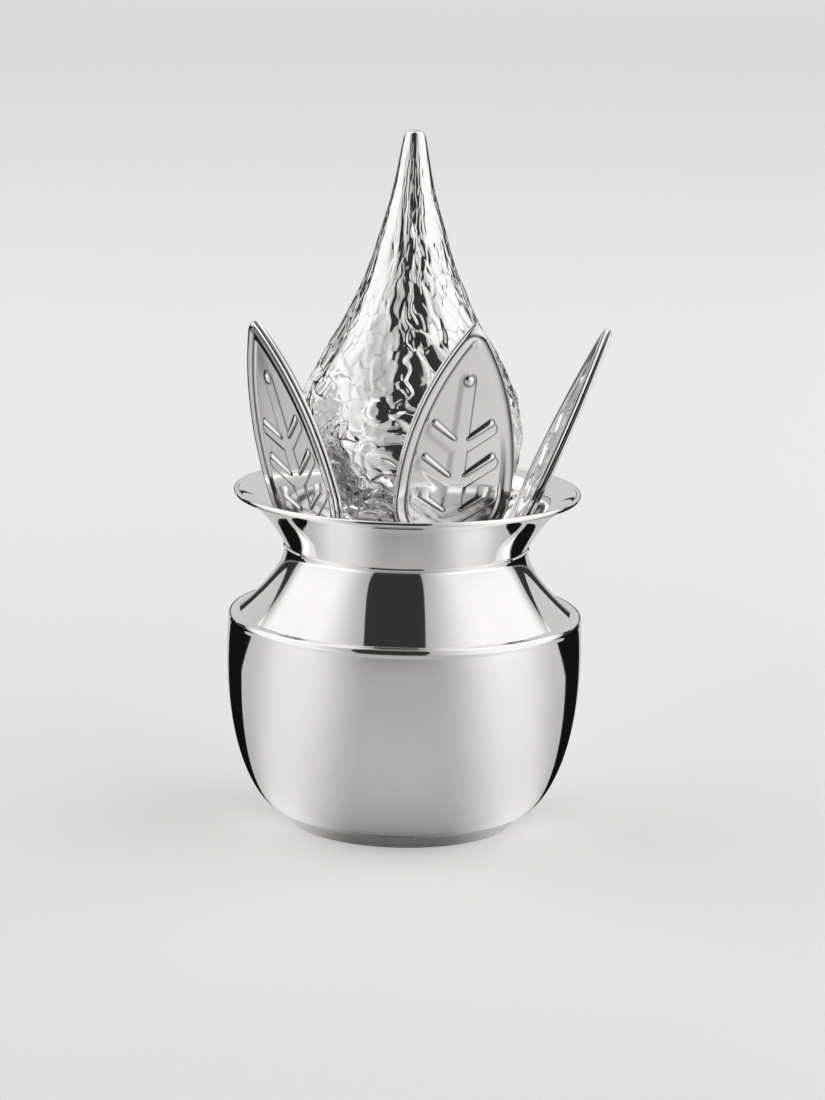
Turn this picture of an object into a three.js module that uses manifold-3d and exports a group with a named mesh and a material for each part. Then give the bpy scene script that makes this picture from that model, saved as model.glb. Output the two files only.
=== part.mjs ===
// Silver kalash: a spun water pot, a crown of five struck leaves in its mouth and a coconut in the crown.
// Millimetres, +Z up. The origin is the centre of the foot on the table, and the front looks along -Y.

import * as THREE from 'three';
import { mergeVertices } from 'three/addons/utils/BufferGeometryUtils.js';
import Module from 'manifold-3d';

const wasm = await Module();
wasm.setup();

// Pot: foot, bowl, shoulder and neck, from the table up
const footHeight = 3.1;
const footBottomRadius = 24.4;
const footTopRadius = 26.2;
const footWall = 1.3;

const bowlHeight = 41.4;
const bellyRadius = 38.3;
const bellyBelowMouth = 6.5;
const bowlMouthInset = 0.25;
const bowlWall = 0.9;
const bowlRoundness = 2.1;
const bowlFullness = 0.55;

const shoulderHeight = 15.9;
const shoulderWall = 0.8;
const beadHeight = 1.9;
const beadWidth = 2.4;
const beadBulge = 0.5;
const shoulderHollow = { across: 0.126, up: 0.293 };
const skirtDepth = 3;
const skirtGap = 0.1;

const throatRadius = 26.15;
const neckHeight = 12.7;
const rimRadius = 37.3;
const neckWall = 0.8;
const flareHollow = { across: 0.43, up: 0.74 };
const lipRadius = 0.6;
const ledgeWidth = 0.3;
const ledgeHeight = 0.6;

// Crown: a seat ring on the flare of the neck, with the leaves standing on it
const seatOverlap = 0.27;
const ringMargin = 1.02;
const seatClearance = 0.15;
const ringThickness = 0.8;
const flangeWidth = 7.31;
const collarHeight = 4.97;
const collarWall = 0.8;

const leafHalfWidth = 12.8;
const leafPointLength = 36.5;
const leafStraight = 2;
const leafBaseRadius = 13;
const leafShellDepth = 0.9;
const leafSeam = 0.3;
const leafStemWidth = 5;
const leafStemThickness = 0.6;
const leafStemLength = 14;
const leafTabWidth = 7;
const leafTabThickness = 0.7;
const leafTabSetback = 0.2;
const leafTabClearance = 0.3;
const leafFlareClearance = 0.3;

// Section of a struck half, from its edge inwards: inset and height as a share of the shell's depth.
const leafSection = [
  [0, 0],
  [0, 0.55],
  [0.35, 1],
  [0.8, 1],
  [1.15, 0.68],
  [2.9, 0.6],
  [3.25, 0.28],
];

// Veins, midrib and bud, with x across the leaf and heights from its tip
const veinPairs = [
  { start: [1.5, -25.6], end: [6.3, -22] },
  { start: [1.7, -33.7], end: [7.5, -29.4] },
  { start: [1.9, -41.6], end: [8.2, -37.2] },
];
const veinWidth = 1.3;
const veinHeight = 0.62;
const midribTop = -13;
const midribBottom = -46;
const midribTopWidth = 0.6;
const midribBottomWidth = 3;
const budRadius = 1.1;
const raisedRoot = 0.1;

// Each leaf is bent by hand: margin to the ring's edge, gap to the coconut at its widest,
// sideways swing and twist in degrees, and length above the ring.
const leaves = [
  { name: 'leaf_front', azimuth: 19.7, margin: 1.35, gap: 3.26, swing: 2.4, twist: 0, length: 52.6 },
  { name: 'leaf_right', azimuth: 97.1, margin: 1.31, gap: 8, swing: -3.1, twist: 5.5, length: 49.9 },
  { name: 'leaf_back_right', azimuth: 166, margin: 1, gap: 5.95, swing: 2, twist: 0, length: 46.8 },
  { name: 'leaf_back_left', azimuth: 241, margin: 0.3, gap: 4.3, swing: 6.5, twist: -7, length: 45.3 },
  { name: 'leaf_left', azimuth: -52.6, margin: 1.03, gap: 3.47, swing: -12.5, twist: 1.3, length: 50.4 },
];

// Coconut: a hollow husk with a rounded lower cap that sits in the collar
const coconutRadius = 24.6;
const coconutLowerHeight = 24.85;
const coconutUpperHeight = 64.55;
const coconutWall = 0.8;
const coconutFlatRadius = 6;
const coconutClearance = 0.3;
const capSeamAboveCollar = 1;
const capLap = 2;
const capLapGap = 0.1;
const huskRibs = 10;
const huskRibDepth = 0.35;

const facets = 40;

// Heights and radii that follow from the sizes above
const bowlTop = footHeight + bowlHeight;
const bellyTop = bowlTop - bellyBelowMouth;
const bowlMouthRadius = bellyRadius - bowlMouthInset;
const creaseRadius = bowlMouthRadius - beadWidth;
const creaseHeight = bowlTop + beadHeight;
const neckBottom = bowlTop + shoulderHeight;
const rimHeight = neckBottom + neckHeight;
const throatInside = throatRadius - neckWall;
const ringRadius = Math.max(throatInside + seatOverlap, coconutRadius + ringMargin);
const collarOutside = ringRadius - flangeWidth;
const collarInside = collarOutside - collarWall;

const silver = new THREE.MeshStandardMaterial({ color: 0xe9e7e4, metalness: 1, roughness: 0.08 });
const satinSilver = new THREE.MeshStandardMaterial({ color: 0xb9aaa6, metalness: 1, roughness: 0.35 });
const struckSilver = new THREE.MeshStandardMaterial({ color: 0xe2e0dd, metalness: 1, roughness: 0.14 });
const huskSilver = new THREE.MeshStandardMaterial({ color: 0xe6e4e0, metalness: 1, roughness: 0.11 });

const point = (radius, height) => new THREE.Vector2(radius, height);
const degrees = (angle) => THREE.MathUtils.degToRad(angle);

// Turns a profile of radius and height about the +Z axis.
function turned(profile) {
  return new THREE.LatheGeometry(profile, facets).rotateX(Math.PI / 2);
}

// A closed loop of points ends where it starts.
function closed(profile) {
  return [...profile, profile[0].clone()];
}

// The points of an open profile moved sideways by a distance, to the left of its direction.
function offset(profile, distance) {
  return profile.map((here, i) => {
    const before = profile[Math.max(i - 1, 0)];
    const after = profile[Math.min(i + 1, profile.length - 1)];
    const direction = after.clone().sub(before).normalize();
    return point(here.x - direction.y * distance, here.y + direction.x * distance);
  });
}

// Every second point of an open profile, with both of its ends.
function thinned(profile) {
  return profile.filter((p, i) => i % 2 === 0 || i === profile.length - 1);
}

// Height at which an open profile reaches a radius as it widens upwards.
function heightAt(profile, radius) {
  const i = profile.findIndex((p, k) => k > 0 && p.x >= radius && profile[k - 1].x < radius);
  const below = profile[i - 1];
  const above = profile[i];
  return below.y + (above.y - below.y) * (radius - below.x) / (above.x - below.x);
}

// Radius of an open profile at a height as it rises.
function radiusAt(profile, height) {
  const i = profile.findIndex((p, k) => k > 0 && (p.y >= height || k === profile.length - 1));
  const below = profile[i - 1];
  const above = profile[i];
  return below.x + (above.x - below.x) * (height - below.y) / (above.y - below.y);
}

function toSolid(geometry) {
  const bare = geometry.clone();
  bare.deleteAttribute('normal');
  bare.deleteAttribute('uv');
  const merged = mergeVertices(bare, 1e-4);
  return new wasm.Manifold(new wasm.Mesh({
    numProp: 3,
    vertProperties: new Float32Array(merged.attributes.position.array),
    triVerts: new Uint32Array(merged.index.array),
  }));
}

function toGeometry(solid) {
  const mesh = solid.getMesh();
  const geometry = new THREE.BufferGeometry();
  geometry.setAttribute('position', new THREE.BufferAttribute(mesh.vertProperties, 3));
  geometry.setIndex(new THREE.BufferAttribute(mesh.triVerts, 1));
  geometry.computeVertexNormals();
  return geometry;
}

// Foot: a low tapered dish that narrows towards its flat underside.
function foot() {
  return turned([
    point(0, 0),
    point(footBottomRadius, 0),
    point(footTopRadius, footHeight),
    point(footTopRadius - footWall, footHeight),
    point(footBottomRadius - footWall, footWall),
    point(0, footWall),
  ]);
}

// Outside of the bowl, from the edge of the flat base up to the mouth.
function bowlOutline() {
  const steps = 10;
  const outline = [];
  for (let i = 0; i <= steps; i++) {
    const rise = Math.pow(i / steps, 1.7);
    const swell = Math.pow(1 - Math.pow(1 - rise, bowlRoundness), bowlFullness);
    const radius = footTopRadius + (bellyRadius - footTopRadius) * swell;
    outline.push(point(radius, footHeight + (bellyTop - footHeight) * rise));
  }
  outline.push(point(bowlMouthRadius, bowlTop));
  return outline;
}

function bowl() {
  const outside = bowlOutline();
  const inside = thinned(offset(outside, bowlWall));
  inside[0].set(footTopRadius - bowlWall, footHeight + bowlWall);
  inside[inside.length - 1].set(bowlMouthRadius - bowlWall, bowlTop);
  return turned([
    point(0, footHeight),
    ...outside,
    ...inside.reverse(),
    point(0, footHeight + bowlWall),
  ]);
}

// Shoulder: a hollow cone with a rolled bead over the bowl's edge and a skirt inside it.
function shoulder() {
  const bead = new THREE.QuadraticBezierCurve(
    point(bowlMouthRadius, bowlTop),
    point(bowlMouthRadius + beadBulge, creaseHeight + beadBulge),
    point(creaseRadius, creaseHeight),
  ).getPoints(5);
  const cone = new THREE.QuadraticBezierCurve(
    point(creaseRadius, creaseHeight),
    point(
      throatRadius + shoulderHollow.across * (creaseRadius - throatRadius),
      creaseHeight + shoulderHollow.up * (neckBottom - creaseHeight),
    ),
    point(throatRadius, neckBottom),
  ).getPoints(7);
  const inside = thinned(offset(cone, shoulderWall));
  inside[inside.length - 1].set(throatInside, neckBottom);
  const skirtOutside = bowlMouthRadius - bowlWall - skirtGap;
  return turned(closed([
    point(skirtOutside, bowlTop),
    ...bead,
    ...cone.slice(1),
    ...inside.reverse().slice(0, -1),
    point(skirtOutside - shoulderWall, bowlTop + 0.5 * shoulderWall),
    point(skirtOutside - shoulderWall, bowlTop - skirtDepth),
    point(skirtOutside, bowlTop - skirtDepth),
  ]));
}

// Outside of the flare, from the throat to where the lip is rolled.
function flareOutline() {
  return new THREE.QuadraticBezierCurve(
    point(throatRadius, neckBottom + ledgeHeight),
    point(
      throatRadius + flareHollow.across * (rimRadius - throatRadius),
      neckBottom + flareHollow.up * neckHeight,
    ),
    point(rimRadius - 1.6 * lipRadius, rimHeight - 1.8 * lipRadius),
  ).getPoints(8);
}

function flareInside() {
  return thinned(offset(flareOutline(), neckWall));
}

// Neck: a trumpet flare that stands on the shoulder by a small ledge and ends in a rolled lip.
function neck() {
  const outside = flareOutline();
  const inside = flareInside();
  const lip = [];
  for (let i = 0; i <= 4; i++) {
    const turn = -0.42 * Math.PI + i / 4 * 1.16 * Math.PI;
    lip.push(point(
      rimRadius - lipRadius + lipRadius * Math.cos(turn),
      rimHeight - lipRadius + lipRadius * Math.sin(turn),
    ));
  }
  return turned(closed([
    point(throatInside, neckBottom),
    point(throatRadius + ledgeWidth, neckBottom),
    point(throatRadius + ledgeWidth, neckBottom + 0.5 * ledgeHeight),
    ...outside.slice(0, -1),
    ...lip,
    ...inside.reverse().slice(1),
  ]));
}

// The ring rests where the inside of the flare is just wider than the ring.
const ringUnderside = heightAt(flareInside(), ringRadius + seatClearance);
const ringTop = ringUnderside + ringThickness;
const collarTop = ringTop + collarHeight;

// The coconut drops into the collar until it is as wide as the collar less a clearance.
const coconutSeatRadius = collarInside - coconutClearance;
const coconutSeatDrop = coconutLowerHeight * Math.sqrt(1 - (coconutSeatRadius / coconutRadius) ** 2);
const coconutCentre = collarTop + coconutSeatDrop;
const capSeam = collarTop + capSeamAboveCollar;

// Seat ring: a flat flange with an upright collar round the coconut's lower end.
function crownRing() {
  return turned(closed([
    point(collarInside, ringUnderside),
    point(ringRadius, ringUnderside),
    point(ringRadius, ringTop),
    point(collarOutside, ringTop),
    point(collarOutside, collarTop),
    point(collarInside, collarTop),
  ]));
}

// Outline of a leaf moved inwards by an inset: a pointed arch of two arcs over a round base.
// The tip is at z = 0 and the leaf runs down from it, with x across.
function leafOutline(inset) {
  const archRadius = (leafHalfWidth ** 2 + leafPointLength ** 2) / (2 * leafHalfWidth);
  const archCentre = leafHalfWidth - archRadius;
  const baseCentre = leafHalfWidth - leafBaseRadius;
  const arch = archRadius - inset;
  const base = leafBaseRadius - inset;
  const tipAngle = Math.acos(-archCentre / arch);
  const baseAngle = Math.acos(-baseCentre / base);
  const side = [];
  const archSteps = 6;
  for (let i = 0; i <= archSteps; i++) {
    const angle = tipAngle * (1 - i / archSteps);
    side.push([archCentre + arch * Math.cos(angle), arch * Math.sin(angle) - leafPointLength]);
  }
  const baseSteps = 4;
  for (let i = 0; i <= baseSteps; i++) {
    const angle = baseAngle * i / baseSteps;
    const depth = leafPointLength + leafStraight + base * Math.sin(angle);
    side.push([baseCentre + base * Math.cos(angle), -depth]);
  }
  side[0][0] = 0;
  side[side.length - 1][0] = 0;
  const mirrored = side.slice(1, -1).reverse().map(([x, z]) => [-x, z]);
  return [...side, ...mirrored];
}

// Half of a leaf, lofted through insets of its outline: rolled rim, sloping band, step and flat panel.
// Its flat back lies at y = 0 and the struck face looks along -Y.
function leafBlank() {
  const rings = leafSection.map(([inset, height]) =>
    leafOutline(inset).map(([x, z]) => [x, -height * leafShellDepth, z]));
  const count = rings[0].length;
  const positions = rings.flat(2);
  const index = [];
  for (let ring = 0; ring < rings.length - 1; ring++) {
    for (let i = 0; i < count; i++) {
      const a = ring * count + i;
      const b = ring * count + (i + 1) % count;
      index.push(a, b + count, b, a, a + count, b + count);
    }
  }
  const last = (rings.length - 1) * count;
  const half = count / 2;
  for (let i = 0; i < half; i++) {
    const right = i;
    const nextRight = i + 1;
    const left = (count - i) % count;
    const nextLeft = count - i - 1;
    if (i > 0) {
      index.push(last + right, last + left, last + nextRight);
      index.push(right, nextRight, left);
    }
    if (i < half - 1) {
      index.push(last + nextRight, last + left, last + nextLeft);
      index.push(nextRight, nextLeft, left);
    }
  }
  const geometry = new THREE.BufferGeometry();
  geometry.setAttribute('position', new THREE.BufferAttribute(new Float32Array(positions), 3));
  geometry.setIndex(index);
  return geometry;
}

// Outline of one side vein: a slim lens that climbs outwards from the midrib.
function veinLens(start, end, side) {
  const along = [end[0] - start[0], end[1] - start[1]];
  const length = Math.hypot(...along);
  const across = [-along[1] / length * veinWidth / 2, along[0] / length * veinWidth / 2];
  const at = (t, w) => [
    side * (start[0] + along[0] * t + across[0] * w),
    start[1] + along[1] * t + across[1] * w,
  ];
  const outline = [at(0, 0), at(0.25, -1), at(0.8, -1), at(1, 0), at(0.8, 1), at(0.25, 1)];
  return side > 0 ? outline : outline.reverse();
}

function midribOutline() {
  return [
    [-midribBottomWidth / 2, midribBottom],
    [midribBottomWidth / 2, midribBottom],
    [midribTopWidth / 2, midribTop],
    [-midribTopWidth / 2, midribTop],
  ];
}

// Veins, midrib and bud stand proud of the panel, about as high as the band round it.
function leafShell() {
  const outlines = veinPairs.flatMap(({ start, end }) => [veinLens(start, end, 1), veinLens(start, end, -1)]);
  let solid = toSolid(leafBlank());
  for (const outline of [...outlines, midribOutline()]) {
    const shape = new THREE.Shape(outline.map(([x, z]) => point(x, z)));
    const depth = veinHeight * leafShellDepth - raisedRoot;
    const raised = new THREE.ExtrudeGeometry(shape, { depth, bevelEnabled: false });
    raised.rotateX(Math.PI / 2).translate(0, -raisedRoot, 0);
    solid = solid.add(toSolid(raised));
  }
  const stemTop = -leafPointLength - leafStraight - 0.7 * leafBaseRadius;
  const stem = new THREE.BoxGeometry(leafStemWidth, leafStemThickness, leafStemLength);
  stem.translate(0, -leafStemThickness / 2, stemTop - leafStemLength / 2);
  const bud = new THREE.LatheGeometry([
    point(0, -leafShellDepth),
    point(0.7 * budRadius, -leafShellDepth),
    point(budRadius, -0.3 * leafShellDepth),
    point(budRadius, -raisedRoot),
    point(0, -raisedRoot),
  ], 10).translate(0, 0, midribTop);
  return solid.add(toSolid(stem)).add(toSolid(bud));
}

// Half of a leaf's width at a distance below its tip, or of its stem's width below the blade.
function leafHalfChord(distance) {
  const depth = distance - leafPointLength - leafStraight;
  if (depth >= leafBaseRadius) return leafStemWidth / 2;
  return leafHalfWidth - leafBaseRadius + Math.sqrt(leafBaseRadius ** 2 - depth ** 2);
}

// A leaf's stance on the ring, seen with the leaf at the front: outwards is -Y.
function leafStance({ gap, swing, twist, length }, radius) {
  const lean = Math.atan2(coconutRadius + gap - radius, coconutCentre - ringTop);
  const turn = new THREE.Euler(lean, degrees(swing), -degrees(twist), 'XZY');
  return new THREE.Matrix4()
    .makeTranslation(0, -radius, ringTop)
    .multiply(new THREE.Matrix4().makeRotationFromEuler(turn))
    .multiply(new THREE.Matrix4().makeTranslation(0, 0, length));
}

// Distance from the axis to a leaf's middle plane at the ring: its lower corners stand on the ring,
// and its outer face keeps clear of the flare all the way up to the rim.
function leafRadius(leaf) {
  const faceDepth = leafShellDepth + leafSeam / 2;
  const chord = leafHalfChord(leaf.length);
  const onRing = Math.sqrt(ringRadius ** 2 - chord ** 2) - faceDepth - leaf.margin;
  const stance = leafStance(leaf, onRing);
  const flare = flareInside();
  const excess = leafOutline(0)
    .map(([x, z]) => new THREE.Vector3(x, -faceDepth, z).applyMatrix4(stance))
    .filter((p) => p.z > ringTop && p.z < rimHeight)
    .map((p) => Math.hypot(p.x, p.y) + leafFlareClearance - radiusAt(flare, p.z));
  return onRing - Math.max(0, ...excess);
}

// One of the two halves of a leaf, cut off level with the top of the ring.
function standingShell(shell, stance, inner) {
  const facing = inner ? Math.PI : 0;
  const placed = toGeometry(shell)
    .translate(0, -leafSeam / 2, 0)
    .rotateZ(facing)
    .applyMatrix4(stance);
  const size = 4 * rimRadius;
  const below = new THREE.BoxGeometry(size, size, size).translate(0, 0, ringTop - size / 2);
  return toSolid(placed).subtract(toSolid(below));
}

// The inner half carries a tab that is soldered flat on the ring.
function tabbedShell(shell, stance, radius) {
  const outer = radius - leafTabSetback;
  const inner = collarOutside + leafTabClearance;
  const tab = new THREE.BoxGeometry(leafTabWidth, outer - inner, leafTabThickness);
  tab.translate(0, -(outer + inner) / 2, ringTop + leafTabThickness / 2);
  return standingShell(shell, stance, true).add(toSolid(tab));
}

// Outside of the coconut above its widest height: full below, hollowed towards a blunt tip.
function coconutUpperOutline() {
  const r = coconutRadius;
  const h = coconutUpperHeight;
  const shape = new THREE.SplineCurve([
    point(r, 0),
    point(0.95 * r, 0.118 * h),
    point(0.8 * r, 0.237 * h),
    point(0.59 * r, 0.375 * h),
    point(0.42 * r, 0.51 * h),
    point(0.293 * r, 0.655 * h),
    point(0.18 * r, 0.81 * h),
    point(0.108 * r, 0.955 * h),
  ]).getPoints(13);
  return [...shape, point(0.085 * r, 0.99 * h), point(0.05 * r, h), point(0, h)]
    .map((p) => point(p.x, p.y + coconutCentre));
}

// Radius of the coconut below its widest height, which is half of an ellipsoid.
function coconutRadiusBelow(height) {
  const drop = (coconutCentre - height) / coconutLowerHeight;
  return coconutRadius * Math.sqrt(1 - drop * drop);
}

function coconutLowerOutline(from, to) {
  const steps = 5;
  const outline = [];
  for (let i = 0; i <= steps; i++) {
    const height = from + (to - from) * i / steps;
    outline.push(point(coconutRadiusBelow(height), height));
  }
  return outline;
}

// Husk: the outside has shallow upright ribs that fade out at the tip and at the seam.
function coconutShell() {
  const lower = coconutLowerOutline(capSeam, coconutCentre);
  const outside = [...lower.slice(0, -1), ...coconutUpperOutline()];
  const inside = offset(outside.slice(0, -2), coconutWall).filter((p, i) => i % 3 === 0);
  inside[0].set(coconutRadiusBelow(capSeam) - coconutWall, capSeam);
  const crest = inside[inside.length - 1].y;
  const profile = [point(0, crest), ...inside.reverse(), ...outside];
  const geometry = turned(profile);
  const position = geometry.attributes.position;
  for (let i = 0; i < position.count; i++) {
    const step = i % profile.length;
    const radius = profile[step].x;
    if (step > inside.length && radius > 0) {
      const rise = (profile[step].y - capSeam) / (crest - capSeam);
      const strength = huskRibDepth * Math.sqrt(Math.sin(Math.PI * Math.min(rise, 1)));
      const angle = 2 * Math.PI * Math.floor(i / profile.length) / facets;
      const scale = 1 + strength * (Math.cos(huskRibs * angle) - 1) / radius;
      position.setX(i, position.getX(i) * scale);
      position.setY(i, position.getY(i) * scale);
    }
  }
  return geometry;
}

// Cap: the rounded lower end, with a lap that fits inside the husk's edge.
function coconutCap() {
  const flat = coconutCentre - coconutLowerHeight * Math.sqrt(1 - (coconutFlatRadius / coconutRadius) ** 2);
  const outside = coconutLowerOutline(flat, capSeam);
  const inside = offset(outside, coconutWall).filter((p, i) => i % 2 === 0).reverse();
  const lapOutside = coconutRadiusBelow(capSeam) - coconutWall - capLapGap;
  return turned([
    point(0, flat),
    ...outside,
    point(lapOutside, capSeam),
    point(lapOutside, capSeam + capLap),
    point(lapOutside - coconutWall, capSeam + capLap),
    ...inside,
    point(0, flat + coconutWall),
  ]);
}

function named(name, geometry, material) {
  const mesh = new THREE.Mesh(geometry, material);
  mesh.name = name;
  return mesh;
}

function buildPot() {
  const pot = new THREE.Group();
  pot.add(named('foot', foot(), satinSilver));
  pot.add(named('bowl', bowl(), silver));
  pot.add(named('shoulder', shoulder(), silver));
  pot.add(named('neck', neck(), silver));
  return pot;
}

function buildCrown() {
  const crown = new THREE.Group();
  crown.add(named('crown_ring', crownRing(), silver));
  const shell = leafShell();
  for (const leaf of leaves) {
    const radius = leafRadius(leaf);
    const stance = leafStance(leaf, radius);
    const halves = {
      outer: standingShell(shell, stance, false),
      inner: tabbedShell(shell, stance, radius),
    };
    for (const [side, solid] of Object.entries(halves)) {
      const half = named(`${leaf.name}_${side}`, toGeometry(solid), struckSilver);
      half.rotation.z = degrees(leaf.azimuth);
      crown.add(half);
    }
  }
  return crown;
}

function buildCoconut() {
  const coconut = new THREE.Group();
  coconut.add(named('coconut_shell', coconutShell(), huskSilver));
  coconut.add(named('coconut_cap', coconutCap(), huskSilver));
  return coconut;
}

const kalash = new THREE.Group();
kalash.add(buildPot());
kalash.add(buildCrown());
kalash.add(buildCoconut());

export default kalash;
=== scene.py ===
"""Silver kalash with coconut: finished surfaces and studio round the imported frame.

The object's sizes are in millimetres and turned into metres when a mesh is made.
The studio's sizes are in metres.
"""

import math
from collections import namedtuple

import bmesh
import bpy
import numpy as np
from mathutils import Matrix, Vector, noise


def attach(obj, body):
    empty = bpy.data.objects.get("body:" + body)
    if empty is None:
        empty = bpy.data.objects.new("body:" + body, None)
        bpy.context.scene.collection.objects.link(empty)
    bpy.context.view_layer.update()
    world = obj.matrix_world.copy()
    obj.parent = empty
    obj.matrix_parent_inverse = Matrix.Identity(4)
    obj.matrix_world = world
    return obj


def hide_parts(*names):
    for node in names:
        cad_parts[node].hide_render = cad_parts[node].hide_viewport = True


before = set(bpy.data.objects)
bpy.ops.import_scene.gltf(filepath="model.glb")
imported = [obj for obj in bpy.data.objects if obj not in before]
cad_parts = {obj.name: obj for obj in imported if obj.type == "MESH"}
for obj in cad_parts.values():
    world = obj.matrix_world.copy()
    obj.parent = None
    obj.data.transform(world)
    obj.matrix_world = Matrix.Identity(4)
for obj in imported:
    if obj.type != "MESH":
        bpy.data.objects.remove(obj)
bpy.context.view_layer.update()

MM = 0.001
TURN = 2 * math.pi

# Pot, from the table up
FOOT_HEIGHT = 3.1
FOOT_BOTTOM_RADIUS = 24.4
FOOT_TOP_RADIUS = 26.2
FOOT_WALL = 1.3
BELLY_RADIUS = 38.3
BELLY_TOP = 38.0
BOWL_MOUTH_RADIUS = 38.05
BOWL_TOP = 44.5
BOWL_WALL = 0.9
BEAD_SWELL = 0.5
CREASE_RADIUS = 35.65
CREASE_HEIGHT = 46.4
SHEET = 0.8
SKIRT_RADIUS = 37.05
SKIRT_DEPTH = 3.0
SKIRT_BEND = 0.4
NECK_BOTTOM = 60.4
THROAT_RADIUS = 26.15
LEDGE_WIDTH = 0.3
LEDGE_HEIGHT = 0.6
RIM_RADIUS = 37.3
RIM_HEIGHT = 73.1
LIP_RADIUS = 0.6

# What the hollow curves of the shoulder and the flare are pulled towards: out from the throat, and up from
# the crease or from the neck's foot
SHOULDER_PULLS = [(5.8, 3.4), (0.1, 9.2)]
FLARE_PULL = (4.79, 9.4)

# Crown seat
RING_UNDERSIDE = 61.912
RING_TOP = 62.712
RING_RADIUS = 25.62
COLLAR_OUTSIDE = 18.31
COLLAR_INSIDE = 17.51
COLLAR_TOP = 67.682
SEAT_EASING = 0.4

# Coconut
COCONUT_RADIUS = 24.6
COCONUT_LOWER = 24.85
COCONUT_UPPER = 64.5
COCONUT_CENTRE = 85.44
COCONUT_FLAT = 6.0
CAP_SEAM = 68.682
CAP_LAP = 2.0
CAP_GAP = 0.1
HUSK_WALL = 1.9
HUSK_WALL_DROP = 0.4
HUSK_COLUMNS = 600
HUSK_ROWS = 560

# Shares of the coconut's radius and of its upper length, from its widest level to its tip
COCONUT_KNOTS = [
    (1.0, 0.0),
    (0.95, 0.118),
    (0.8, 0.237),
    (0.59, 0.375),
    (0.42, 0.51),
    (0.293, 0.655),
    (0.18, 0.81),
    (0.108, 0.955),
    (0.085, 0.99),
    (0.05, 1.0),
    (0.0, 1.0),
]

# Chasing of the husk: features round the axis and their length along it, then its greatest height and depth
LUMPS = (60, 2.4)
FLAKES = (38, 4.6)
FIBRES = (38, 11)
FINE_MARKS = (96, 2.6)
SWELLS = (9, 12)
CHASING_HEIGHT = 0.7
CHASING_DEPTH = 0.9
# How dark the husk's creases are painted: partly patina in the hollows, partly painted shade
HUSK_PATINA_AND_SHADE = 0.75

# Eye dimple of the husk
EYE_TURN_DEGREES = -18.0
EYE_HEIGHT = 93.6
EYE_RADIUS = 1.8
EYE_DEPTH = 0.13
EYE_LIP = 0.06

# Leaf outline, seam and hidden joints
LEAF_HALF_WIDTH = 12.8
LEAF_POINT_LENGTH = 36.5
LEAF_STRAIGHT = 2.0
LEAF_BASE_RADIUS = 13.0
LEAF_SEAM = 0.3
STEM_WIDTH = 5.0
STEM_THICKNESS = 0.6
STEM_SETBACK = 0.02
STEM_LENGTH = 14.0
TAB_WIDTH = 7.0
TAB_THICKNESS = 0.7
TAB_SETBACK = 0.2
TAB_CLEARANCE = 0.3
JOINT_EASING = 0.12
TIP_ROUND_BACK = 0.4
TIP_ROUND_PANEL = 0.5
TIP_ROUND_INNER = 1.0

# Stances of the leaves: angles in degrees, base radius, length above the ring, tip rounding, and how far the
# rim's right side is worn flat
Stance = namedtuple("Stance", "azimuth radius lean swing twist length tip_round worn")
LEAVES = {
    "leaf_front": Stance(19.7, 23.098, 11.835, 2.4, 0.0, 52.6, 3.0, 1.0),
    "leaf_right": Stance(97.1, 22.536, 23.886, -3.1, 5.5, 49.9, 1.4, 0.0),
    "leaf_back_right": Stance(166.0, 21.619, 21.453, 2.0, 0.0, 46.8, 2.2, 0.0),
    "leaf_back_left": Stance(241.0, 21.659, 17.672, 6.5, -7.0, 45.3, 2.0, 0.0),
    "leaf_left": Stance(-52.6, 23.041, 12.478, -12.5, 1.3, 50.4, 1.4, 0.0),
}

# Section of a struck half, from its back round the rim and down the inner bevel to the panel: inset from the
# outline, height over the back and crease depth, then height and crease depth again for the worn side. The
# crease depth sets how dark a band is painted, near black at full depth: partly patina in the hollows, partly
# painted shade, set apart for the worn side
Band = namedtuple("Band", "inset height crease worn_height worn_crease")
LEAF_SECTION = [
    Band(0.25, 0.0, 1.0, 0.0, 1.0),
    Band(0.06, 0.03, 0.8, 0.03, 0.8),
    Band(0.0, 0.12, 0.2, 0.12, 0.2),
    Band(0.0, 0.5, 0.0, 0.5, 0.0),
    Band(0.03, 0.7, 0.0, 0.68, 0.0),
    Band(0.1, 0.83, 0.6, 0.8, 0.0),
    Band(0.18, 0.86, 1.0, 0.86, 0.0),
    Band(0.28, 0.87, 1.0, 0.84, 0.5),
    Band(0.4, 0.895, 0.9, 0.7, 1.0),
    Band(0.55, 0.9, 0.1, 0.5, 1.0),
    Band(0.7, 0.9, 0.0, 0.36, 0.4),
    Band(1.0, 0.89, 0.0, 0.31, 0.0),
    Band(1.6, 0.86, 0.0, 0.3, 0.0),
    Band(1.9, 0.83, 0.5, 0.3, 0.0),
    Band(2.0, 0.8, 1.0, 0.3, 0.0),
    Band(2.12, 0.77, 1.0, 0.3, 0.0),
    Band(2.26, 0.73, 1.0, 0.3, 0.0),
    Band(2.4, 0.65, 0.5, 0.3, 0.0),
    Band(2.72, 0.42, 0.0, 0.3, 0.0),
    Band(2.8, 0.36, 0.5, 0.3, 0.0),
    Band(2.86, 0.32, 0.8, 0.3, 0.0),
    Band(2.94, 0.3, 0.1, 0.3, 0.0),
]

# Midrib, side veins and bud, as distances across the leaf and below its tip
MIDRIB_LEVELS = [12.5, 24, 34, 48]
MIDRIB_HALF_WIDTHS = [1.45, 1.55, 1.75, 2.3]
MIDRIB_TOP_RADIUS = 1.45
MIDRIB_HEIGHT = 0.2
BRANCH_HALF_WIDTH = 1.4
BRANCH_DROPS = (1.45, 1.55)
VEINS = [((1.5, 25.5), (6.2, 22.0)), ((1.7, 33.7), (7.4, 29.5)), ((1.9, 41.5), (8.2, 37.3))]
VEIN_HEIGHT = 0.34
BUD_LEVEL = 12.75
BUD_RADIUS = 1.1
BUD_HEIGHT = 0.62

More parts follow.
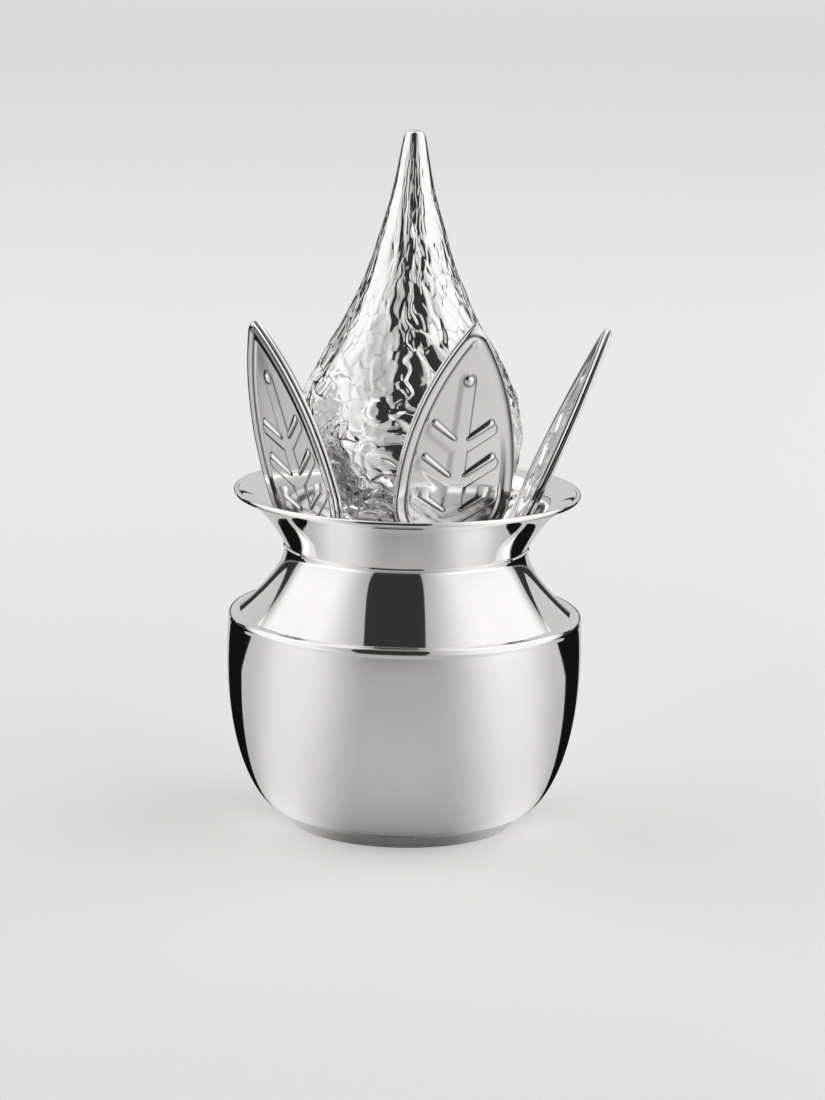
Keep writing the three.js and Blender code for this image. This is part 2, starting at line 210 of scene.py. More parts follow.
# Metal: smudges and wipe marks in a metre, and how strong they are
SMUDGES = 55.0
WIPE_LINES = 5200
WIPE_STRENGTH = 0.35
WIPE_DEPTH = 0.000004
SMUDGE_TINT = 0.955
# How much of the darker crease colour shows at full depth: partly patina in the hollows, partly painted shade
PATINA_AND_SHADE_COVER = 0.92

# Camera: lens and sensor in millimetres, angles in radians
CAMERA_LENS = 128.5
SENSOR_WIDTH = 36
CAMERA_PLACE = (0, -0.8276, 0.23377)
CAMERA_YAW = 0.00164
CAMERA_PITCH = 0.20738
CAMERA_ROLL = 0.02131

# Studio
FLOOR_HALF_SIZE = 6
FILL_LIGHT = 0.035
BACKGROUND_LEVEL = 0.7
FLAG_OUTLINE = [(0.0275, -0.001), (0.14, 0.074), (1.2, 0.32), (0.9, 1.56), (0.035, 0.05), (0.022, 0.018)]
FLAG_HEIGHT = 0.0006
CARD_LEVEL = 0.6
CARD_HALF_WIDTH = 1.2
CARD_LINE = [(1.3, 0.2), (1.2, 1.4), (0.7, 2.4), (0.0, 2.7)]

# Soft boxes: both ends of the inner edge, and a point of the outer edge
LAMPS = {
    "box_left": [(-0.47, -0.856, 0), (-0.13, 0.647, 2.3), (-1.15, 0.577, 0)],
    "box_right": [(0.22, -0.951, 0), (0.11, 0.623, 2.3), (1.15, 0.577, 0)],
}

# How a soft box fades towards its edges: direction, share of its size that fades, and level at the edge
LAMP_FADES = [("X", 0.3, 0.45), ("Y", 0.3, 0.85)]


def smooth_step(value, low, high):
    """0 below a range, 1 above it and a smooth rise between."""
    t = np.clip((value - low) / (high - low), 0, 1)
    return t * t * (3 - 2 * t)


def bell(value, centre, width):
    """1 at a centre, falling smoothly to almost nothing two widths away."""
    return np.exp(-(((value - centre) / width) ** 2))


def dome(value):
    """Height of a round bead, 1 at its middle and 0 from 1 outwards."""
    return np.sqrt(np.clip(1 - value**2, 0, 1))


def bezier(*controls, steps):
    """Points of a Bezier curve, without its first one."""
    points = []
    for i in range(1, steps + 1):
        level = list(controls)
        while len(level) > 1:
            level = [tuple(p + (q - p) * i / steps for p, q in zip(a, b)) for a, b in zip(level, level[1:])]
        points.append(level[0])
    return points


def arc(centre, radius, first, last, steps):
    """Points of a circular arc of radius and height, angles in degrees from outwards."""
    angles = [math.radians(first + (last - first) * i / steps) for i in range(steps + 1)]
    return [(centre[0] + radius * math.cos(a), centre[1] + radius * math.sin(a)) for a in angles]


def spline(points, per_span):
    """Catmull-Rom curve through points."""
    knots = np.array([points[0], *points, points[-1]], float)
    curve = []
    for i in range(1, len(knots) - 2):
        p0, p1, p2, p3 = knots[i - 1 : i + 3]
        bend = 2 * p0 - 5 * p1 + 4 * p2 - p3
        twist = 3 * p1 - p0 - 3 * p2 + p3
        for k in range(per_span):
            t = k / per_span
            curve.append(0.5 * (2 * p1 + (p2 - p0) * t + bend * t * t + twist * t**3))
    curve.append(knots[-2])
    return np.array(curve)


def offset(profile, distance):
    """An open profile moved sideways, to the left of its direction."""
    moved = []
    for i, (r, z) in enumerate(profile):
        before = profile[max(i - 1, 0)]
        after = profile[min(i + 1, len(profile) - 1)]
        dr, dz = after[0] - before[0], after[1] - before[1]
        length = math.hypot(dr, dz)
        moved.append((r - dz / length * distance, z + dr / length * distance))
    return moved


def turned(profile, segments=288, closed=False):
    """Vertices and faces of a profile of radius and height turned about +Z."""
    vertices, rings = [], []
    for r, z in profile:
        if r < 1e-6:
            rings.append([len(vertices)] * segments)
            vertices.append((0, 0, z * MM))
            continue
        rings.append(list(range(len(vertices), len(vertices) + segments)))
        for i in range(segments):
            a = TURN * i / segments
            vertices.append((r * math.cos(a) * MM, r * math.sin(a) * MM, z * MM))
    faces = []
    pairs = list(zip(rings, rings[1:])) + ([(rings[-1], rings[0])] if closed else [])
    for low, high in pairs:
        for i in range(segments):
            j = (i + 1) % segments
            corners = list(dict.fromkeys([low[i], low[j], high[j], high[i]]))
            if len(corners) > 2:
                faces.append(corners)
    return vertices, faces


def rounded_box(low, high):
    """Vertices and faces of a box between two corners with softened edges."""
    made = bmesh.new()
    bmesh.ops.create_cube(made, size=1)
    for v in made.verts:
        v.co = Vector([a + (b - a) * (c + 0.5) for a, b, c in zip(low, high, v.co)])
    bmesh.ops.bevel(made, geom=made.edges[:], offset=JOINT_EASING, segments=2, affect="EDGES", profile=0.5)
    made.verts.index_update()
    vertices = [v.co.copy() for v in made.verts]
    faces = [[v.index for v in f.verts] for f in made.faces]
    made.free()
    return vertices, faces


def add_piece(name, mesh, body, nodes, material, sharp):
    """A smooth-shaded piece that rides on a body and stands for CAD nodes."""
    mesh.shade_smooth()
    mesh.set_sharp_from_angle(angle=math.radians(sharp))
    piece = bpy.data.objects.new(name, mesh)
    bpy.context.scene.collection.objects.link(piece)
    piece.data.materials.append(material)
    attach(piece, body)
    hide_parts(*nodes)
    return piece


def new_piece(name, vertices, faces, body, nodes, slot, material, sharp=32):
    """A piece from vertices in metres and their faces."""
    mesh = bpy.data.meshes.new(name)
    mesh.from_pydata(vertices, [], faces)
    mesh.validate()
    return add_piece(name, mesh, body, nodes, material, sharp)


class Nodes:
    """Shorthand for building a node tree."""

    def __init__(self, tree):
        self.tree = tree

    def add(self, kind, inputs=None, **settings):
        """A new node, with plain values or links on its inputs."""
        node = self.tree.nodes.new(kind)
        for key, value in settings.items():
            setattr(node, key, value)
        for key, value in (inputs or {}).items():
            if isinstance(value, bpy.types.NodeSocket):
                self.link(value, node.inputs[key])
            else:
                node.inputs[key].default_value = value
        return node

    def link(self, output, target):
        self.tree.links.new(output, target)

    def place(self):
        """Coordinates in the object's own metres."""
        return self.add("ShaderNodeTexCoord").outputs["Object"]

    def noise(self, place, scale, detail, **inputs):
        """Level of a noise pattern."""
        inputs = {"Vector": place, "Scale": scale, "Detail": detail, **inputs}
        return self.add("ShaderNodeTexNoise", inputs).outputs["Fac"]

    def maths(self, operation, *values):
        """Result of one operation on numbers."""
        return self.add("ShaderNodeMath", dict(enumerate(values)), operation=operation).outputs["Value"]

    def vectors(self, operation, *values):
        """Result of one operation on vectors."""
        node = self.add("ShaderNodeVectorMath", dict(enumerate(values)), operation=operation)
        return node.outputs["Value" if operation == "LENGTH" else "Vector"]

    def mix(self, factor, first, second):
        """A colour between two others."""
        return self.add("ShaderNodeMix", {0: factor, 6: first, 7: second}, data_type="RGBA").outputs[2]

    def ramp(self, factor, low, high, start, end, smooth=False):
        """Maps a factor between two stops onto a range of values."""
        node = self.add("ShaderNodeMapRange", {"Value": factor, "From Min": low, "From Max": high})
        node.interpolation_type = "SMOOTHSTEP" if smooth else "LINEAR"
        node.inputs["To Min"].default_value = start
        node.inputs["To Max"].default_value = end
        return node.outputs["Result"]


def new_material(name):
    """A material, the shorthand for its nodes, and its surface shader."""
    material = bpy.data.materials.new(name)
    material.use_nodes = True
    tree = material.node_tree
    return material, Nodes(tree), tree.nodes["Principled BSDF"]


def silver(name, tint, gloss, haze, grain, patina_and_shade=None):
    """Polished silver: hazy smudges in its gloss, fine wipe marks and an optional darker colour in creases,
    read from the depth attribute, which is partly patina and partly painted shade.
    """
    material, n, shader = new_material(name)
    shader.inputs["Metallic"].default_value = 1.0
    smudge = n.noise(n.place(), SMUDGES, 5.0, Roughness=0.55)
    n.link(n.ramp(smudge, 0.35, 0.7, gloss, gloss + haze), shader.inputs["Roughness"])
    dulled = [share * SMUDGE_TINT for share in tint]
    colour = n.mix(n.ramp(smudge, 0.4, 0.75, 0.0, 1.0), (*tint, 1), (*dulled, 1))
    if patina_and_shade:
        # Darker colour where the depth attribute is high: patina in the hollows and painted shade
        depth = n.add("ShaderNodeAttribute", attribute_name="depth").outputs["Fac"]
        colour = n.mix(n.ramp(depth, 0.0, 1.0, 0.0, PATINA_AND_SHADE_COVER), colour, (*patina_and_shade, 1))
    n.link(colour, shader.inputs["Base Color"])
    wipe = n.noise(grain(n), 1.0, 3.0)
    lines = {"Height": wipe, "Strength": WIPE_STRENGTH, "Distance": WIPE_DEPTH}
    bump = n.add("ShaderNodeBump", lines)
    n.link(bump.outputs["Normal"], shader.inputs["Normal"])
    return material


def turned_grain(n):
    """Coordinates that run round the axis, for the fine lines of a spun and buffed surface."""
    place = n.place()
    parts = n.add("ShaderNodeSeparateXYZ", {"Vector": place}).outputs
    flat = n.add("ShaderNodeCombineXYZ", {"X": parts["X"], "Y": parts["Y"]}).outputs["Vector"]
    radius = n.vectors("LENGTH", flat)
    joined = n.add("ShaderNodeCombineXYZ", {"X": radius, "Z": parts["Z"]}).outputs["Vector"]
    coarse = n.vectors("MULTIPLY", place, (40, 40, 0))
    fine = n.vectors("MULTIPLY", joined, (WIPE_LINES, 0, WIPE_LINES))
    return n.vectors("ADD", coarse, fine)


def leaf_grain(n):
    """Coordinates that run along a leaf, for its upright brushing."""
    along = n.add("ShaderNodeUVMap", uv_map="leaf").outputs["UV"]
    return n.vectors("MULTIPLY", along, (WIPE_LINES, 120, 0))


def husk_grain(n):
    """Coordinates drawn out upright, for the fibres of the husk."""
    return n.vectors("MULTIPLY", n.place(), (2600, 2600, 300))


polished = silver("silver_polished", (0.93, 0.92, 0.905), 0.035, 0.035, turned_grain)
# The satin foot's colour is much darker than silver's: painted shade, standing in for the dark surroundings
# it reflects
satin_painted_dark = silver("silver_satin_painted_dark", (0.60, 0.575, 0.565), 0.22, 0.10, turned_grain)
seat = silver("silver_seat", (0.95, 0.945, 0.94), 0.18, 0.10, turned_grain)
# The leaves' rim lines, vein edges and creases are painted near black: partly patina, partly painted shade
struck = silver("silver_struck", (0.90, 0.89, 0.885), 0.07, 0.07, leaf_grain, patina_and_shade=(0.05, 0.045, 0.045))
struck_inside = silver("silver_inside", (0.93, 0.92, 0.915), 0.04, 0.03, leaf_grain)
# The husk's creases take the darker colour: partly patina, partly painted shade
husk = silver("silver_husk", (0.95, 0.945, 0.93), 0.05, 0.06, husk_grain, patina_and_shade=(0.30, 0.28, 0.27))


def make_foot():
    """Low tapered dish with eased edges."""
    bottom, top = FOOT_BOTTOM_RADIUS, FOOT_TOP_RADIUS
    profile = [
        (0, 0),
        (bottom - 0.35, 0),
        (bottom - 0.1, 0.08),
        (bottom, 0.3),
        (top - 0.08, FOOT_HEIGHT - 0.25),
        (top - 0.12, FOOT_HEIGHT - 0.06),
        (top - 0.3, FOOT_HEIGHT),
        (top - FOOT_WALL, FOOT_HEIGHT),
        (bottom - FOOT_WALL, FOOT_WALL),
        (0, FOOT_WALL),
    ]
    new_piece("pot_foot", *turned(profile), "pot", ["foot"], "satin_silver", satin_painted_dark)


def bowl_outline(steps=90, mouth_steps=12):
    """Outside of the bowl from the foot up to its mouth."""
    outline = []
    for i in range(steps + 1):
        rise = (i / steps) ** 1.9
        swell = (1 - (1 - rise) ** 2.1) ** 0.55
        radius = FOOT_TOP_RADIUS + (BELLY_RADIUS - FOOT_TOP_RADIUS) * swell
        outline.append((radius, FOOT_HEIGHT + (BELLY_TOP - FOOT_HEIGHT) * rise))
    for i in range(1, mouth_steps + 1):
        t = i / mouth_steps
        inward = (BELLY_RADIUS - BOWL_MOUTH_RADIUS) * t * t
        outline.append((BELLY_RADIUS - inward, BELLY_TOP + (BOWL_TOP - BELLY_TOP) * t))
    return outline


def make_bowl():
    """Raised bowl with its belly near the top."""
    outside = bowl_outline()
    inside = offset(outside, BOWL_WALL)
    inside[0] = (FOOT_TOP_RADIUS - BOWL_WALL, FOOT_HEIGHT + BOWL_WALL)
    inside[-1] = (BOWL_MOUTH_RADIUS - BOWL_WALL, BOWL_TOP)
    profile = [(0, FOOT_HEIGHT), *outside, *reversed(inside), (0, FOOT_HEIGHT + BOWL_WALL)]
    new_piece("pot_bowl", *turned(profile), "pot", ["bowl"], "polished_silver", polished)


def make_shoulder():
    """Hollow-sided cone over a rolled bead, with a skirt that sits inside the bowl's mouth."""
    bead_foot = (BOWL_MOUTH_RADIUS, BOWL_TOP)
    bead_pull = (BOWL_MOUTH_RADIUS + BEAD_SWELL, CREASE_HEIGHT + BEAD_SWELL)
    crease = (CREASE_RADIUS, CREASE_HEIGHT)
    bead = [bead_foot] + bezier(bead_foot, bead_pull, crease, steps=24)
    hollow = [(THROAT_RADIUS + across, CREASE_HEIGHT + up) for across, up in SHOULDER_PULLS]
    cone = [crease] + bezier(crease, *hollow, (THROAT_RADIUS, NECK_BOTTOM), steps=60)
    lining = offset(cone, SHEET)
    lining[-1] = (THROAT_RADIUS - SHEET, NECK_BOTTOM)
    profile = [(SKIRT_RADIUS, BOWL_TOP), *bead, *cone[1:], *reversed(lining[1:])]
    profile += [(SKIRT_RADIUS - SHEET, BOWL_TOP + SKIRT_BEND), (SKIRT_RADIUS - SHEET, BOWL_TOP - SKIRT_DEPTH)]
    profile += [(SKIRT_RADIUS, BOWL_TOP - SKIRT_DEPTH)]
    new_piece("pot_shoulder", *turned(profile, closed=True), "pot", ["shoulder"], "polished_silver", polished)


def make_neck():
    """Trumpet flare on a small ledge, with a rolled lip."""
    throat = (THROAT_RADIUS, NECK_BOTTOM + LEDGE_HEIGHT)
    pull = (THROAT_RADIUS + FLARE_PULL[0], NECK_BOTTOM + FLARE_PULL[1])
    lip_foot = (RIM_RADIUS - 1.6 * LIP_RADIUS, RIM_HEIGHT - 1.8 * LIP_RADIUS)
    flare = [throat] + bezier(throat, pull, lip_foot, steps=48)
    lining = offset(flare, SHEET)
    lip = arc((RIM_RADIUS - LIP_RADIUS, RIM_HEIGHT - LIP_RADIUS), LIP_RADIUS, -75, 150, 20)
    profile = [(THROAT_RADIUS - SHEET, NECK_BOTTOM), (THROAT_RADIUS + LEDGE_WIDTH, NECK_BOTTOM)]
    profile += [(THROAT_RADIUS + LEDGE_WIDTH, NECK_BOTTOM + 0.5 * LEDGE_HEIGHT)]
    profile += [*flare[:-1], *lip, *reversed(lining[:-1])]
    new_piece("pot_neck", *turned(profile, closed=True), "pot", ["neck"], "polished_silver", polished)


def make_seat():
    """Flat ring that rests in the flare, with an upright collar for the coconut."""
    ring = [(COLLAR_INSIDE, RING_UNDERSIDE), (RING_RADIUS - 0.2, RING_UNDERSIDE)]
    ring += arc((RING_RADIUS - SEAT_EASING, RING_TOP - SEAT_EASING), SEAT_EASING, -60, 90, 8)
    ring += [(COLLAR_OUTSIDE + 0.3, RING_TOP), (COLLAR_OUTSIDE, RING_TOP + 0.3)]
    ring += arc((COLLAR_OUTSIDE - SEAT_EASING, COLLAR_TOP - SEAT_EASING), SEAT_EASING, 0, 180, 12)
    new_piece("crown_seat", *turned(ring, closed=True), "leaf_crown", ["crown_ring"], "leaf_silver", seat)


def leaf_side(inset, tip_round, arch_steps=150, tip_steps=14, base_steps=70):
    """Right side of a leaf's outline moved inwards: x across and distance below the tip."""
    arch_radius = (LEAF_HALF_WIDTH**2 + LEAF_POINT_LENGTH**2) / (2 * LEAF_HALF_WIDTH)
    arch_centre = LEAF_HALF_WIDTH - arch_radius
    base_centre = LEAF_HALF_WIDTH - LEAF_BASE_RADIUS
    base_level = LEAF_POINT_LENGTH + LEAF_STRAIGHT
    arch, base = arch_radius - inset, LEAF_BASE_RADIUS - inset
    rise = math.sqrt((arch - tip_round) ** 2 - arch_centre**2)
    tip_angle = math.atan2(rise, -arch_centre)
    base_angle = math.acos(-base_centre / base)
    side = []
    for i in range(tip_steps):
        a = math.pi / 2 + (tip_angle - math.pi / 2) * i / tip_steps
        side.append((tip_round * math.cos(a), LEAF_POINT_LENGTH - rise - tip_round * math.sin(a)))
    for i in range(arch_steps + 1):
        a = tip_angle * (1 - i / arch_steps)
        side.append((arch_centre + arch * math.cos(a), LEAF_POINT_LENGTH - arch * math.sin(a)))
    for i in range(base_steps + 1):
        a = base_angle * i / base_steps
        side.append((base_centre + base * math.cos(a), base_level + base * math.sin(a)))
    side[0] = (0.0, side[0][1])
    side[-1] = (0.0, side[-1][1])
    return np.array(side)


def leaf_sides(tip_round):
    """Right side of each band's outline, with the tip rounder at the rim than at the back and the panel."""
    sides = []
    for band in LEAF_SECTION:
        lift = smooth_step(band.height if band.inset < 0.3 else 1, 0.1, 0.8)
        rounding = TIP_ROUND_BACK + (tip_round - TIP_ROUND_BACK) * lift
        rounding = rounding + (TIP_ROUND_PANEL - rounding) * smooth_step(band.inset, 0.8, 2.0)
        sides.append(leaf_side(band.inset, float(rounding)))
    return sides


def waves(x, y, seed, size, count=5):
    """Smooth seeded waviness between about -1 and 1."""
    rng = np.random.default_rng(seed)
    total = 0
    for _ in range(count):
        a = rng.uniform(0, TURN)
        k = TURN / (size * rng.uniform(0.7, 1.5))
        total = total + np.sin(k * (x * math.cos(a) + y * math.sin(a)) + rng.uniform(0, TURN))
    return total / count


def leaf_rim(sides, seed, worn):
    """Vertices, crease depths and faces of a half's bands, from its back to the panel's edge."""
    vertices, creases, faces = [], [], []
    loop = 2 * len(sides[0]) - 2
    for band, side in zip(LEAF_SECTION, sides):
        whole = np.concatenate([side, side[-2:0:-1] * (-1, 1)])
        share = worn * smooth_step(whole[:, 0], -1.5, 1.5) * (1 - smooth_step(whole[:, 1], 22, 40))
        heights = band.height + (band.worn_height - band.height) * share
        heights = heights + 0.012 * waves(whole[:, 0], whole[:, 1], seed, 9) * min(band.height / 0.5, 1)
        vertices += [(x, -h, -d) for (x, d), h in zip(whole, heights)]
        creases += list(band.crease + (band.worn_crease - band.crease) * share)
    for ring in range(len(sides) - 1):
        a, b = ring * loop, (ring + 1) * loop
        for i in range(loop):
            j = (i + 1) % loop
            faces.append((a + i, a + j, b + j, b + i))
    return vertices, creases, faces


def segment_distance(x, d, start, end):
    """Distance to a segment and the share of its length at the nearest point."""
    ax, ad = end[0] - start[0], end[1] - start[1]
    t = np.clip(((x - start[0]) * ax + (d - start[1]) * ad) / (ax * ax + ad * ad), 0, 1)
    return np.hypot(x - start[0] - t * ax, d - start[1] - t * ad), t


def midrib_distance(side, d):
    """Distance outside the raised midrib and its branches, negative inside them."""
    width = np.interp(d, MIDRIB_LEVELS, MIDRIB_HALF_WIDTHS)
    outside = np.where(d > BUD_LEVEL, side - width, np.hypot(side, d - BUD_LEVEL) - MIDRIB_TOP_RADIUS)
    for inner, outer in VEINS:
        start = (inner[0], inner[1] + BRANCH_DROPS[0])
        end = (outer[0], outer[1] + BRANCH_DROPS[1])
        away, _ = segment_distance(side, d, start, end)
        outside = np.minimum(outside, away - BRANCH_HALF_WIDTH)
    return outside


def leaf_relief(x, d, worn):
    """Height of the midrib, veins and bud over the panel, and how deep in a crease each point is."""
    side = np.abs(x)
    outside = midrib_distance(side, d)
    blunt = worn * (1 - smooth_step(x, -0.6, 0.6))
    relief = MIDRIB_HEIGHT * smooth_step(-outside / (1 + 5 * blunt), -0.16, 0.12)
    # The crease value paints the surface dark, as patina and painted shade; on a worn leaf it is weakened on
    # the left side, a one-sided painted shade
    crease = bell(outside, 0.1, 0.2) * (1 - 0.9 * blunt)
    for inner, outer in VEINS:
        away, t = segment_distance(side, d, inner, outer)
        width = 0.28 + 0.36 * np.sqrt(t)
        beside = away - width
        relief = relief + VEIN_HEIGHT * dome(away / width) - 0.07 * bell(beside, 0.12, 0.16)
        crease = np.maximum(crease * (away > width), bell(beside, 0.08, 0.18))
    bud = np.hypot(x, d - BUD_LEVEL)
    relief = np.maximum(relief, BUD_HEIGHT * dome(bud / BUD_RADIUS))
    crease = np.maximum(crease * (bud > BUD_RADIUS), bell(bud, BUD_RADIUS + 0.1, 0.18))
    return relief, crease


def leaf_panel(edge, first, start, seed, worn, columns):
    """Vertices, crease depths and rows of vertex numbers of the panel inside the innermost band."""
    vertices, creases, rows = [], [], []
    loop = 2 * len(edge) - 2
    floor = LEAF_SECTION[-1].height
    for i in range(1, len(edge) - 1):
        half, d = edge[i]
        x = half * np.linspace(1, -1, columns + 1)[1:-1]
        depth = np.full_like(x, d)
        fade = smooth_step(half - np.abs(x), 0.0, 0.5)
        relief, crease = leaf_relief(x, depth, worn)
        height = floor + relief * fade + 0.02 * waves(x, depth, seed, 9)
        row = start + len(vertices)
        vertices += [(px, -h, -d) for px, h in zip(x, height)]
        creases += list(crease * fade)
        rows.append([first + i, *range(row, row + columns - 1), first + loop - i])
    return vertices, creases, rows


def leaf_shell(seed, tip_round, worn, columns):
    """A struck half with its flat back at y = 0, its face along -Y and its tip at the origin.

    Gives its vertices, a crease depth for each, and its faces.
    """
    sides = leaf_sides(tip_round)
    vertices, creases, faces = leaf_rim(sides, seed, worn)
    count = len(sides[0])
    loop = 2 * count - 2
    tip = (len(sides) - 1) * loop
    base = tip + count - 1
    inner, inner_creases, rows = leaf_panel(sides[-1], tip, len(vertices), seed, worn, columns)
    vertices += inner
    creases += inner_creases
    for row, below in zip(rows, rows[1:]):
        for i in range(columns):
            faces.append((row[i], below[i], below[i + 1], row[i + 1]))
    for i in range(columns):
        faces.append((tip, rows[0][i], rows[0][i + 1]))
        faces.append((base, rows[-1][i + 1], rows[-1][i]))
    faces.append((0, loop - 1, 1))
    faces.append((count - 2, count, count - 1))
    for i in range(1, count - 2):
        faces.append((i, loop - i, loop - i - 1, i + 1))
    return vertices, creases, faces


def leaf_places(stance, inner):
    """Transforms of a leaf half: round the axis, and from its own frame to its stance."""
    turn = Matrix.Rotation(math.radians(stance.lean), 4, "X")
    turn = turn @ Matrix.Rotation(-math.radians(stance.twist), 4, "Z")
    turn = turn @ Matrix.Rotation(math.radians(stance.swing), 4, "Y")
    about = Matrix.Rotation(math.radians(stance.azimuth), 4, "Z")
    foot = Matrix.Translation((0, -stance.radius, RING_TOP))
    facing = Matrix.Rotation(math.pi if inner else 0, 4, "Z") @ Matrix.Translation((0, -LEAF_SEAM / 2, 0))
    return about, about @ foot @ turn @ Matrix.Translation((0, 0, stance.length)) @ facing


def add_body(built, points, polygons, where, creases=None):
    """Adds a closed body to a bmesh, with leaf coordinates for its brushing and a crease depth."""
    layer = built.loops.layers.uv.get("leaf") or built.loops.layers.uv.new("leaf")
    # The depth layer carries how dark the material paints each point: patina and painted shade
    depth = built.verts.layers.float.get("depth") or built.verts.layers.float.new("depth")
    made = [built.verts.new(where @ Vector(p)) for p in points]
    for vertex, crease in zip(made, creases or [0] * len(made)):
        vertex[depth] = crease
    for polygon in polygons:
        face = built.faces.new([made[i] for i in polygon])
        for corner, i in zip(face.loops, polygon):
            corner[layer].uv = (points[i][0] * MM, points[i][2] * MM)


def add_stem(built, where):
    """Adds the strip that carries a half down to the ring."""
    top = LEAF_POINT_LENGTH + LEAF_STRAIGHT + 0.7 * LEAF_BASE_RADIUS
    low = (-STEM_WIDTH / 2, -STEM_THICKNESS, -top - STEM_LENGTH)
    high = (STEM_WIDTH / 2, -STEM_SETBACK, -top)
    add_body(built, *rounded_box(low, high), where)


def add_tab(built, radius, about):
    """Adds the flat tab that joins a leaf to the ring beside the collar."""
    low = (-TAB_WIDTH / 2, TAB_SETBACK - radius, RING_TOP)
    high = (TAB_WIDTH / 2, -COLLAR_OUTSIDE - TAB_CLEARANCE, RING_TOP + TAB_THICKNESS)
    add_body(built, *rounded_box(low, high), about)


def cut_at_ring(built):
    """Cuts away what lies below the ring's top and closes the cut."""
    everything = built.verts[:] + built.edges[:] + built.faces[:]
    cut = bmesh.ops.bisect_plane(
        built, geom=everything, plane_co=(0, 0, RING_TOP), plane_no=(0, 0, 1), clear_inner=True
    )
    edges = [e for e in cut["geom_cut"] if isinstance(e, bmesh.types.BMEdge)]
    bmesh.ops.holes_fill(built, edges=edges, sides=0)


def make_leaf_half(leaf, stance, inner, seed):
    """One struck sheet of a leaf; the inner one, out of sight, is plainer and carries the tab."""
    about, place = leaf_places(stance, inner)
    tip_round = TIP_ROUND_INNER if inner else stance.tip_round
    worn = 0.0 if inner else stance.worn
    built = bmesh.new()
    vertices, creases, faces = leaf_shell(seed, tip_round, worn, 80 if inner else 140)
    add_body(built, vertices, faces, place, creases)
    add_stem(built, place)
    cut_at_ring(built)
    if inner:
        add_tab(built, stance.radius, about)
    bmesh.ops.recalc_face_normals(built, faces=built.faces[:])
    for v in built.verts:
        v.co *= MM
    node = f"{leaf}_{'inner' if inner else 'outer'}"
    mesh = bpy.data.meshes.new(f"{node}_struck")
    built.to_mesh(mesh)
    built.free()
    material = struck_inside if inner else struck
    add_piece(f"{node}_struck", mesh, "leaf_crown", [node], material, sharp=50)


def make_leaves():
    for seed, (leaf, stance) in enumerate(LEAVES.items()):
        for inner in (False, True):
            make_leaf_half(leaf, stance, inner, 2 * seed + inner)


def lower_radius(height):
    """Radius of the coconut below its widest level."""
    drop = (COCONUT_CENTRE - height) / COCONUT_LOWER
    return COCONUT_RADIUS * math.sqrt(1 - drop * drop)


def coconut_profile(rows, low_steps=60, knot_steps=30):
    """Evenly spaced points of the husk's outside from the cap's seam to the tip, and lengths along it."""
    heights = [CAP_SEAM + (COCONUT_CENTRE - CAP_SEAM) * i / low_steps for i in range(low_steps)]
    low = [(lower_radius(z), z) for z in heights]
    high = spline([(a * COCONUT_RADIUS, b * COCONUT_UPPER) for a, b in COCONUT_KNOTS], knot_steps)
    line = np.concatenate([np.array(low), high + (0, COCONUT_CENTRE)])
    along = np.concatenate([[0], np.cumsum(np.hypot(*np.diff(line, axis=0).T))])
    places = np.linspace(0, along[-1], rows)
    return np.stack([np.interp(places, along, line[:, 0]), np.interp(places, along, line[:, 1])], 1), places


def perlin(x, y, z):
    """Smooth noise between about -1 and 1 at each point."""
    flat = zip(x.ravel().tolist(), y.ravel().tolist(), z.ravel().tolist())
    return np.array([noise.noise(point) for point in flat]).reshape(x.shape)


# Multipliers that scatter a plate's centre into four values between -1 and 1
SCATTER = np.array(
    [[12.99, 39.35, 73.16, 27.17], [78.23, 11.14, 52.24, 63.73], [37.72, 83.16, 9.15, 45.32]]
)
SCATTER_SCALE = 4375.85


def plates(x, y, z, level, tilt, crown=0.1, softness=12):
    """Height of uneven plates, about 1 across, and how near each point is to the step between two."""
    points = np.stack([x, y, z], -1)
    found = [noise.voronoi(point) for point in points.reshape(-1, 3).tolist()]
    away = np.array([near[0] for near in found]).reshape(*x.shape, 4)
    centres = np.array([[tuple(centre) for centre in near[1]] for near in found]).reshape(*x.shape, 4, 3)
    chance = np.modf(np.abs(np.sin(centres @ SCATTER)) * SCATTER_SCALE)[0] * 2 - 1
    slope = (chance[..., 1:] * (points[..., None, :] - centres)).sum(-1)
    heights = level * chance[..., 0] + tilt * slope - crown * away**2
    weights = np.exp(-softness * (away**2 - away[..., :1] ** 2))
    share = 1 / weights.sum(-1)
    return (weights * heights).sum(-1) * share, np.clip(2 * (1 - share), 0, 1)


def around(angle, v, count, length, seed):
    """Noise coordinates with a whole number of features round the axis and a feature length along it."""
    radius = count / TURN
    return radius * np.cos(angle) + 17.3 * seed, radius * np.sin(angle) - 9.1 * seed, v / length


def husk_zones(aside, rise):
    """How calm, how bold and how finely broken the chasing is, and where the husk's belly is.

    The angle aside is measured from the front, to the right, and the rise from the widest level.
    """
    calm = smooth_step(aside, -2.2, -1.2) * (1 - smooth_step(aside, -0.16, 0.08)) * smooth_step(rise, 6, 24)
    calm = np.maximum(calm, 0.9 * smooth_step(rise, 34, 50))
    bold = 0.6 + 1.2 * bell(aside, 0.3, 0.45) * smooth_step(rise, 2, 12)
    broken = bell(aside, 0.12, 0.35) * (1 - smooth_step(rise, 18, 34))
    belly = smooth_step(rise, -14, -4) * (1 - smooth_step(rise, 18, 30))
    return calm, bold * (1 - 0.62 * calm), broken, belly


